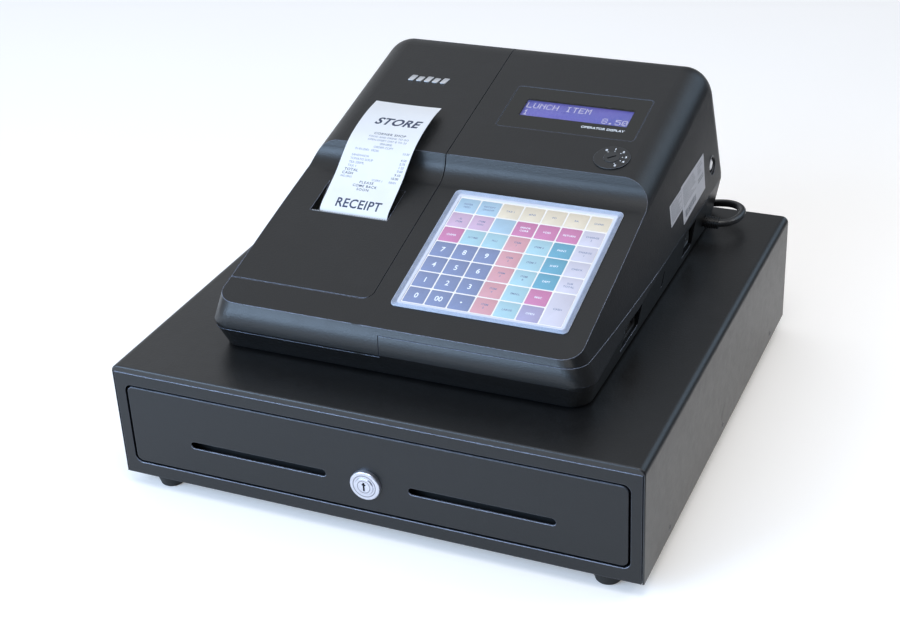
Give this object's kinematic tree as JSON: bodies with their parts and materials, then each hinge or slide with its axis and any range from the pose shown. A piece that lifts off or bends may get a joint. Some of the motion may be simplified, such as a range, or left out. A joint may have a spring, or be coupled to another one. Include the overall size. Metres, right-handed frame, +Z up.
{
  "type": "cash register",
  "caption": "Black electronic cash register with flat colour-coded keyboard, tilted display, lift-up receipt printer cover and mode key lock, standing on a sliding steel cash drawer.",
  "frame": {"origin": "counter surface under the middle of the bounding box", "axes": "+X to the right as the operator sees it, +Y from the operator to the back, +Z up"},
  "size_m": [0.41, 0.4086, 0.2412],
  "materials": {
    "casing_paint": "fine-textured black powder coat",
    "front_paint": "fine-textured black powder coat",
    "zinc_steel": "zinc plated",
    "tray_paint": "satin black",
    "case_plastic": "fine spark-eroded texture",
    "foot_rubber": "matte",
    "cable_rubber": "satin",
    "lock_chrome": "polished",
    "dark_steel": "plain",
    "spring_steel": "bright",
    "nylon": "plain",
    "till_plastic": "satin moulded",
    "clip_plastic": "satin moulded",
    "coil_copper": "enamelled",
    "pcb_green": "solder mask",
    "chip_black": "plain",
    "key_frame": "translucent",
    "key_sheet": "printed film",
    "window_acrylic": "polished",
    "lcd_glass": "backlit",
    "switch_plastic": "plain",
    "dial_plastic": "satin",
    "gear_plastic": "plain",
    "platen_rubber": "ground",
    "paper": "thermal paper"
  },
  "bodies": {
    "register": {"cable_grommet": "foot_rubber", "card_slot": "till_plastic", "case_feet": "foot_rubber", "case_screws": "dark_steel", "casing_feet": "foot_rubber", "casing_screws": "dark_steel", "cover_hinge_pins": "zinc_steel", "customer_display": "window_acrylic", "display_window": "window_acrylic", "drawer_base_pan": "casing_paint", "drawer_cable": "cable_rubber", "drawer_casing": "casing_paint", "drawer_front_frame": "front_paint", "ejector_spring": "spring_steel", "key_legend_sheet": "key_sheet", "keyboard_backplate": "zinc_steel", "keyboard_board": "pcb_green", "keyboard_frame": "key_frame", "latch_bracket": "zinc_steel", "latch_solenoid": "coil_copper", "lcd_module": "lcd_glass", "lower_case": "case_plastic", "main_board": "pcb_green", "mode_lock_bezel": "dial_plastic", "mode_lock_switch": "switch_plastic", "paper_cradle": "till_plastic", "power_supply": "chip_black", "power_switch_body": "dial_plastic", "print_head": "dark_steel", "printer_frame": "zinc_steel", "serial_port": "zinc_steel", "slide_rails": "zinc_steel", "stepper_motor": "zinc_steel", "upper_case": "case_plastic"},
    "drawer": {"drawer_front_panel": "front_paint", "drawer_tray": "tray_paint", "till_insert": "till_plastic", "coin_cups": "till_plastic", "clip_axle": "zinc_steel", "drawer_lock_housing": "lock_chrome", "latch_striker": "zinc_steel"},
    "front_roller_pair": {"front_rollers": "nylon"},
    "rear_roller_pair": {"rear_rollers": "nylon"},
    "clip_1": {"note_clip_1": "clip_plastic"},
    "clip_2": {"note_clip_2": "clip_plastic"},
    "clip_3": {"note_clip_3": "clip_plastic"},
    "clip_4": {"note_clip_4": "clip_plastic"},
    "lock_barrel": {"drawer_lock_plug": "lock_chrome", "lock_cam": "zinc_steel"},
    "latch": {"latch_lever": "zinc_steel"},
    "plunger": {"solenoid_plunger": "dark_steel"},
    "cover": {"printer_cover": "case_plastic", "tear_bar": "zinc_steel", "receipt": "paper"},
    "mode_key_barrel": {"mode_lock_rotor": "lock_chrome"},
    "power_button": {"power_rocker": "switch_plastic"},
    "platen": {"platen_roller": "platen_rubber"},
    "idler": {"idler_gear": "gear_plastic"},
    "pinion": {"motor_pinion": "gear_plastic"},
    "roll": {"paper_roll": "paper"}
  },
  "joints": [
    {"name": "drawer_slide", "type": "slide", "parent": "register", "child": "drawer", "axis": [0, -1, 0], "range_m": [0, 0.3]},
    {"name": "front_rollers_turn", "type": "hinge", "parent": "register", "child": "front_roller_pair", "pos_m": [0, -0.178, 0.05025], "axis": [1, 0, 0], "range_deg": [-5, 2465]},
    {"name": "rear_rollers_turn", "type": "hinge", "parent": "drawer", "child": "rear_roller_pair", "pos_m": [0, 0.138, 0.05025], "axis": [1, 0, 0], "range_deg": [-5, 2465]},
    {"name": "note_clip_lift_1", "type": "hinge", "parent": "drawer", "child": "clip_1", "pos_m": [0, 0.131, 0.074], "axis": [-1, 0, 0], "range_deg": [0, 40]},
    {"name": "note_clip_lift_2", "type": "hinge", "parent": "drawer", "child": "clip_2", "pos_m": [0, 0.131, 0.074], "axis": [-1, 0, 0], "range_deg": [0, 40]},
    {"name": "note_clip_lift_3", "type": "hinge", "parent": "drawer", "child": "clip_3", "pos_m": [0, 0.131, 0.074], "axis": [-1, 0, 0], "range_deg": [0, 40]},
    {"name": "note_clip_lift_4", "type": "hinge", "parent": "drawer", "child": "clip_4", "pos_m": [0, 0.131, 0.074], "axis": [-1, 0, 0], "range_deg": [0, 40]},
    {"name": "drawer_lock_turn", "type": "hinge", "parent": "drawer", "child": "lock_barrel", "pos_m": [0, -0.2, 0.047], "axis": [0, 1, 0], "range_deg": [0, 90]},
    {"name": "latch_swing", "type": "hinge", "parent": "register", "child": "latch", "pos_m": [0.012, 0.186, 0.052], "axis": [0, 0, 1], "range_deg": [-20, 0]},
    {"name": "plunger_stroke", "type": "slide", "parent": "register", "child": "plunger", "axis": [1, 0, 0], "range_m": [-0.0047, 0]},
    {"name": "cover_lift", "type": "hinge", "parent": "register", "child": "cover", "pos_m": [-0.075, 0.152, 0.226], "axis": [-1, 0, 0], "range_deg": [0, 70]},
    {"name": "mode_key_turn", "type": "hinge", "parent": "register", "child": "mode_key_barrel", "pos_m": [0.1039, 0.0343, 0.21311], "axis": [0, -0.2267, 0.974], "range_deg": [-125, 95]},
    {"name": "power_button_rock", "type": "hinge", "parent": "register", "child": "power_button", "pos_m": [0.1415, 0.155, 0.163], "axis": [0, 0, 1], "range_deg": [-7, 7]},
    {"name": "platen_feed", "type": "hinge", "parent": "register", "child": "platen", "pos_m": [-0.079, -0.042, 0.15], "axis": [1, 0, 0], "continuous": true},
    {"name": "idler_turn", "type": "hinge", "parent": "register", "child": "idler", "pos_m": [-0.0415, -0.054, 0.13712], "axis": [1, 0, 0], "continuous": true},
    {"name": "pinion_turn", "type": "hinge", "parent": "register", "child": "pinion", "pos_m": [-0.0415, -0.054, 0.12433], "axis": [1, 0, 0], "continuous": true},
    {"name": "roll_turn", "type": "hinge", "parent": "register", "child": "roll", "pos_m": [-0.079, 0.045, 0.1495], "axis": [1, 0, 0], "continuous": true}
  ],
  "couplings": [
    {"joint": "front_rollers_turn", "follows": "drawer_slide", "rad_per_m": 142.86},
    {"joint": "rear_rollers_turn", "follows": "drawer_slide", "rad_per_m": 142.86},
    {"joint": "plunger_stroke", "follows": "latch_swing", "m_per_rad": 0.013},
    {"joint": "idler_turn", "follows": "platen_feed", "ratio": -1.2},
    {"joint": "pinion_turn", "follows": "platen_feed", "ratio": 2},
    {"joint": "roll_turn", "follows": "platen_feed", "ratio": 0.17699}
  ]
}
